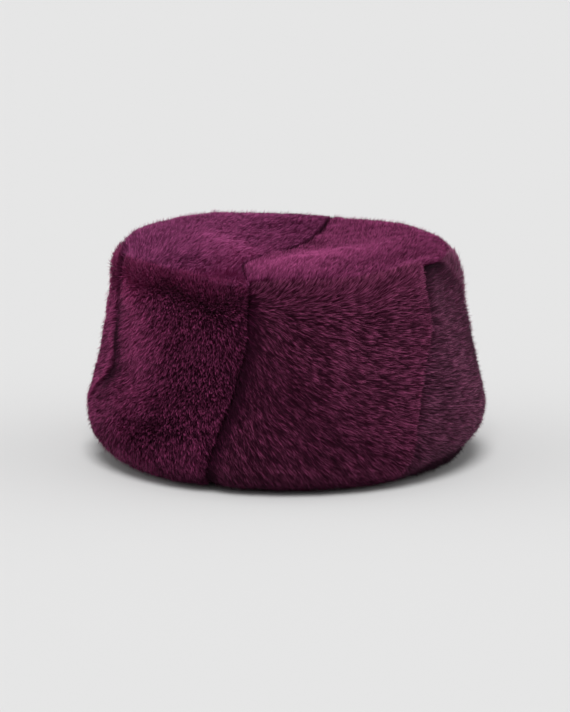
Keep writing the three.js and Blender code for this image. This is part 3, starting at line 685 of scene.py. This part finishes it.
def crown_pile(name, left, locks, blades, k, style):
    rng = np.random.default_rng(SEED + k)
    s_fine = np.linspace(0, RIM_S, 800)
    r_fine = OUTER_R(s_fine)
    area = np.concatenate([[0], np.cumsum((r_fine[1:] + r_fine[:-1]) / 2 * np.diff(s_fine))])
    parts = []
    for long, n in ((True, locks), (False, blades)):
        a, b = spread(2 * n, k + 20 * long)
        r = OUTER_R(np.interp(a * area[-1], area, s_fine))
        x, y = r * np.sin(b * 2 * math.pi), -r * np.cos(b * 2 * math.pi)
        seam = crown_seam_x(y)
        keep = (x < seam) if left else (x >= seam)
        x, y, seam, r = x[keep], y[keep], seam[keep], r[keep]
        n = len(x)
        table = np.array(CROWN_LAY_LEFT if left else CROWN_LAY_RIGHT, float)
        w = np.exp(-((x[:, None] - table[:, 0]) / 24) ** 2 - ((y[:, None] - table[:, 1]) / 24) ** 2) + 1e-9
        w /= w.sum(1, keepdims=True)
        heading, stand = np.radians((w * table[:, 2]).sum(1)), (w * table[:, 3]).sum(1)
        direction = np.stack([np.cos(heading), np.sin(heading)], 1)
        ends = np.full(n, 99.0)
        # at the seam's front end the left half's pile covers it
        covered = (y < 0) * np.exp(-((r_fine[-1] - r) / 19) ** 2)
        if left:
            ends = (seam - x + (SEAM_STYLE["crown"][0] + 3.0 * covered) * (0.15 + 1.7 * rng.random(n))) / np.maximum(direction[:, 0], 0.3)
        seam_ends = ends
        # past the rim the pile hangs over by a few mm
        over, low, dark, wide = (around(RIM_STYLE, c, np.degrees(np.arctan2(x, -y))) for c in (1, 2, 3, 4))
        outward = (x * direction[:, 0] + y * direction[:, 1]) / np.maximum(r, 1)
        over = over * (0.1 + 1.3 * rng.random(n))
        ends = np.minimum(ends, np.where(outward > 0.12, (r_fine[-1] - r + over) / np.maximum(outward, 0.12), 99))
        at_rim = np.exp(-((r_fine[-1] - r) / wide) ** 2)
        # the crown's pile is darker at the rim, painted shade, and lighter where dark is below 0, painted light
        tone, flat = style["tone"] - dark * at_rim, style["flat"] * (1 - 1.6 * np.clip(dark, 0, 0.6) * at_rim)
        for piece, _, cx, cy, length, width, deg, painted_light, flatter in BRUSHED_CROWN_WITH_PAINTED_LIGHT:
            c, s = math.cos(math.radians(deg)), math.sin(math.radians(deg))
            u, v = (x - cx) * c + (y - cy) * s, -(x - cx) * s + (y - cy) * c
            m = (piece == name) * np.exp(-(u / length) ** 2 - (v / width) ** 2)
            tone, flat = tone + painted_light * m, flat + flatter * m
        flat = np.clip(flat, 0, 1)
        seam_style = SEAM_STYLE["crown"]
        # along the crown seam: painted light on the left half where it ends, painted shade on the right half where it
        # starts
        if left:
            at_seam = np.exp(-((x - seam) / seam_style[8]) ** 2)
            drop, fill, edge, tone = 0 * x, 0 * x, seam_style[6] * at_seam, tone + seam_style[7] * at_seam
        else:
            at_seam = np.exp(-((x - seam) / seam_style[3]) ** 2) * (1 - 0.95 * covered)
            drop, fill, edge, tone = seam_style[2] * at_seam, seam_style[4] * at_seam, 0 * x, tone - seam_style[5] * at_seam
        parts.append(hairs(CROWN, x, y, direction, ends, seam_ends, SEAM_STYLE["crown"][10] * (1 - covered), rng, style, tone, long, stand, flat, drop + low * at_rim, edge, fill))
    return pile_mesh(f"{name}_pile", *parts)


# ---------------------------------------------------------------- materials
def new_material(name):
    mat = bpy.data.materials.new(name)
    mat.use_nodes = True
    nodes, links = mat.node_tree.nodes, mat.node_tree.links
    return mat, nodes, links, nodes["Principled BSDF"]


def ramp(nodes, links, source, stops, interpolation="LINEAR"):
    node = nodes.new("ShaderNodeValToRGB")
    node.color_ramp.interpolation = interpolation
    while len(node.color_ramp.elements) < len(stops):
        node.color_ramp.elements.new(0.5)
    for e, (at, colour) in zip(node.color_ramp.elements, stops):
        e.position = at
        e.color = (*colour, 1)
    links.new(source, node.inputs["Fac"])
    return node.outputs["Color"]


def linear(r, g, b):
    return tuple(v / 12.92 if v <= 0.04045 else ((v + 0.055) / 1.055) ** 2.4 for v in (r / 255, g / 255, b / 255))


def hair_material(name, deep_roots, light_roots, deep_tips, light_tips, gloss):
    """Dark at the root, plum at the tip, the dark root standing partly for painted shade deep in the pile; each hair
    has its own tone between deep and light, which also carries painted light and shade.
    """
    mat, nodes, links, bsdf = new_material(name)
    uv = nodes.new("ShaderNodeUVMap")
    uv.uv_map = "OFBake"
    split = nodes.new("ShaderNodeSeparateXYZ")
    links.new(uv.outputs["UV"], split.inputs[0])
    deep = ramp(nodes, links, split.outputs["Y"], deep_roots + deep_tips)
    light = ramp(nodes, links, split.outputs["Y"], light_roots + light_tips)
    mix = nodes.new("ShaderNodeMix")
    mix.data_type = "RGBA"
    links.new(split.outputs["X"], mix.inputs["Factor"])
    links.new(deep, mix.inputs["A"])
    links.new(light, mix.inputs["B"])
    links.new(mix.outputs["Result"], bsdf.inputs["Base Color"])
    rough = nodes.new("ShaderNodeMapRange")
    rough.inputs["To Min"].default_value = 0.8
    rough.inputs["To Max"].default_value = 0.45
    links.new(split.outputs["Y"], rough.inputs["Value"])
    links.new(rough.outputs["Result"], bsdf.inputs["Roughness"])
    bsdf.inputs["Specular IOR Level"].default_value = gloss
    bsdf.inputs["Specular Tint"].default_value = (0.9, 0.5, 0.75, 1)
    return mat


def skin_material(name):
    """The skin under the pile: dark, with the mottled tone of dyed hide and a fine nap."""
    mat, nodes, links, bsdf = new_material(name)
    place = nodes.new("ShaderNodeTexCoord")
    blotch = nodes.new("ShaderNodeTexNoise")
    blotch.inputs["Scale"].default_value = 55
    blotch.inputs["Detail"].default_value = 5
    links.new(place.outputs["Object"], blotch.inputs["Vector"])
    colour = ramp(nodes, links, blotch.outputs["Fac"], [(0.3, linear(34, 10, 23)), (0.55, linear(46, 15, 32)), (0.75, linear(60, 22, 42))])
    links.new(colour, bsdf.inputs["Base Color"])
    nap = nodes.new("ShaderNodeTexNoise")
    nap.inputs["Scale"].default_value = 900
    nap.inputs["Detail"].default_value = 3
    links.new(place.outputs["Object"], nap.inputs["Vector"])
    bump = nodes.new("ShaderNodeBump")
    bump.inputs["Strength"].default_value = 0.5
    bump.inputs["Distance"].default_value = 0.0004
    links.new(nap.outputs["Fac"], bump.inputs["Height"])
    links.new(bump.outputs["Normal"], bsdf.inputs["Normal"])
    rough = nodes.new("ShaderNodeMapRange")
    rough.inputs["To Min"].default_value = 0.78
    rough.inputs["To Max"].default_value = 0.95
    links.new(blotch.outputs["Fac"], rough.inputs["Value"])
    links.new(rough.outputs["Result"], bsdf.inputs["Roughness"])
    return mat


def floor_material(name):
    mat, nodes, links, bsdf = new_material(name)
    bsdf.inputs["Base Color"].default_value = (*([FLOOR_ALBEDO] * 3), 1)
    bsdf.inputs["Roughness"].default_value = 1.0
    bsdf.inputs["Specular IOR Level"].default_value = 0.0
    return mat


# ---------------------------------------------------------------- the hat
DARK_ROOTS = [(0.0, linear(14, 2, 8)), (0.45, linear(44, 9, 28))], [(0.0, linear(30, 7, 20)), (0.45, linear(100, 33, 70))]
WARM_ROOTS = [(0.0, linear(24, 8, 17)), (0.45, linear(54, 18, 37))], [(0.0, linear(50, 18, 35)), (0.45, linear(128, 54, 94))]
# lighter roots, used only on the crown's left half: painted light
PAINTED_LIGHT_ROOTS = [(0.0, linear(56, 20, 42)), (0.45, linear(78, 27, 58))], [(0.0, linear(90, 34, 64)), (0.45, linear(150, 66, 114))]
# the crown's materials are lighter in their deep tones than the sides', and the left half's roots lighter still:
# painted light where the top is lit from above
LEFT_TOP = hair_material("plum_pile_left_top", *PAINTED_LIGHT_ROOTS, [(0.85, linear(88, 30, 64)), (1.0, linear(94, 34, 70))],
                         [(0.85, linear(188, 88, 146)), (1.0, linear(208, 108, 166))], 0.10)
RIGHT_TOP = hair_material("plum_pile_right_top", *DARK_ROOTS, [(0.85, linear(74, 18, 47)), (1.0, linear(82, 22, 53))],
                          [(0.85, linear(184, 82, 138)), (1.0, linear(206, 104, 160))], 0.08)
LEFT_PILE = hair_material("plum_pile_left", *WARM_ROOTS, [(0.85, linear(53, 18, 37)), (1.0, linear(61, 22, 43))],
                          [(0.85, linear(184, 78, 132)), (1.0, linear(206, 100, 156))], 0.12)
FRONT_PILE = hair_material("plum_pile_front", *DARK_ROOTS, [(0.85, linear(46, 9, 27)), (1.0, linear(54, 13, 33))],
                           [(0.85, linear(184, 88, 134)), (1.0, linear(208, 118, 162))], 0.14)
# the right pile's tips are greyer than the front's, a painted sheen
RIGHT_PILE = hair_material("plum_pile_right", *DARK_ROOTS, [(0.85, linear(46, 13, 30)), (1.0, linear(54, 18, 36))],
                           [(0.85, linear(166, 92, 128)), (1.0, linear(192, 120, 156))], 0.30)
PILE_MATS = {
    "crown_left": LEFT_TOP, "crown_right": RIGHT_TOP, "panel_left": LEFT_PILE, "panel_rear_left": LEFT_PILE,
    "panel_front": FRONT_PILE, "panel_rear": FRONT_PILE, "panel_right": RIGHT_PILE, "panel_rear_right": RIGHT_PILE,
}
SKIN_MAT = skin_material("plum_skin")
share = 1.0
jobs = [("crown_left", None), ("crown_right", None)] + [(name, (first, last)) for name, first, last in PANELS]
faces = 0
for k, (node, seams) in enumerate(jobs):
    left = node == "crown_left"
    points, quads = side_skin(node, *seams) if seams else crown_skin(left)
    skin = build_mesh(f"{node}_skin", points, quads)
    locks, blades = int(PILES[node][0] * share), int(PILES[node][1] * share)
    style = dict(zip(("length", "tone", "stand", "flat", "thick", "tuft_long", "tuft_wide", "gather", "widest", "turned", "varied", "stray"), PILES[node][2:]))
    if seams:
        pile = side_pile(node, *seams, locks, blades, k, style)
    else:
        pile = crown_pile(node, left, locks, blades, k, style)
    skin.data.materials.append(SKIN_MAT)
    pile.data.materials.append(PILE_MATS[node])
    for piece in (skin, pile):
        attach(piece, "root")
    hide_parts(node)
    faces += len(skin.data.polygons) * 2 + len(pile.data.polygons)
    print(node, len(skin.data.polygons) * 2, len(pile.data.polygons))
print("triangles in all", faces)

# ---------------------------------------------------------------- floor, light and camera
WORLD_SEEN = 0.80
FLOOR_ALBEDO = 0.70

def soft_studio():
    world = bpy.data.worlds.new("studio")
    bpy.context.scene.world = world
    world.use_nodes = True
    nodes, links = world.node_tree.nodes, world.node_tree.links
    nodes.clear()
    out = nodes.new("ShaderNodeOutputWorld")
    seen, light, pick = nodes.new("ShaderNodeBackground"), nodes.new("ShaderNodeBackground"), nodes.new("ShaderNodeMixShader")
    path = nodes.new("ShaderNodeLightPath")
    seen.inputs["Color"].default_value = (WORLD_SEEN, WORLD_SEEN, WORLD_SEEN, 1)
    place = nodes.new("ShaderNodeTexCoord")
    split = nodes.new("ShaderNodeSeparateXYZ")
    links.new(place.outputs["Generated"], split.inputs[0])
    grade = nodes.new("ShaderNodeMapRange")
    grade.inputs["From Min"].default_value = 0.0
    grade.inputs["From Max"].default_value = 1.0
    grade.inputs["To Min"].default_value = 0.10
    grade.inputs["To Max"].default_value = 0.62
    links.new(split.outputs["Z"], grade.inputs["Value"])
    # broad soft lights on the left and right
    away = nodes.new("ShaderNodeMath")
    away.operation = "ABSOLUTE"
    links.new(split.outputs["X"], away.inputs[0])
    sides = nodes.new("ShaderNodeMapRange")
    sides.interpolation_type = "SMOOTHSTEP"
    sides.inputs["From Min"].default_value = 0.50
    sides.inputs["From Max"].default_value = 0.90
    sides.inputs["To Min"].default_value = 0.0
    sides.inputs["To Max"].default_value = 1.15
    links.new(away.outputs[0], sides.inputs["Value"])
    above = nodes.new("ShaderNodeMapRange")
    above.inputs["From Min"].default_value = 0.0
    above.inputs["From Max"].default_value = 0.25
    links.new(split.outputs["Z"], above.inputs["Value"])
    high = nodes.new("ShaderNodeMath")
    high.operation = "MULTIPLY"
    links.new(sides.outputs["Result"], high.inputs[0])
    links.new(above.outputs["Result"], high.inputs[1])
    total = nodes.new("ShaderNodeMath")
    links.new(grade.outputs["Result"], total.inputs[0])
    links.new(high.outputs[0], total.inputs[1])
    links.new(total.outputs[0], light.inputs["Strength"])
    links.new(path.outputs["Is Camera Ray"], pick.inputs[0])
    links.new(light.outputs[0], pick.inputs[1])
    links.new(seen.outputs[0], pick.inputs[2])
    links.new(pick.outputs[0], out.inputs["Surface"])


def sun(name, strength, azimuth, elevation, spread_deg, colour=(1, 1, 1)):
    data = bpy.data.lights.new(name, "SUN")
    data.energy, data.angle, data.color = strength, math.radians(spread_deg), colour
    obj = bpy.data.objects.new(name, data)
    bpy.context.scene.collection.objects.link(obj)
    a, e = math.radians(azimuth), math.radians(elevation)
    away = Vector((math.sin(a) * math.cos(e), -math.cos(a) * math.cos(e), math.sin(e)))
    obj.rotation_euler = away.to_track_quat("Z", "Y").to_euler()
    return obj


soft_studio()
sun("overhead", 2.15, -3, 62, 28)

size = 60.0
floor_points = np.array([(-size, -size, 0), (size, -size, 0), (size, size, 0), (-size, size, 0)]) * 1000
floor = build_mesh("floor", floor_points - SHIFT, np.array([[0, 1, 2, 3]]))
floor.data.materials.append(floor_material("pale_floor"))

cam = bpy.data.cameras.new("camera")
camera = bpy.data.objects.new("camera", cam)
bpy.context.scene.collection.objects.link(camera)
target = Vector((-0.001 + 0.00022, -0.00015, 0.063))
elev, dist = math.radians(11.0), 1.3
camera.location = target + Vector((0, -math.cos(elev), math.sin(elev))) * dist
camera.rotation_euler = (camera.location - target).to_track_quat("Z", "Y").to_euler()
cam.sensor_width = 36
cam.lens = 2000 * 36 / 712
cam.clip_end = 500
bpy.context.scene.camera = camera

view = bpy.context.scene.view_settings
view.view_transform = "Standard"
view.look = "None"
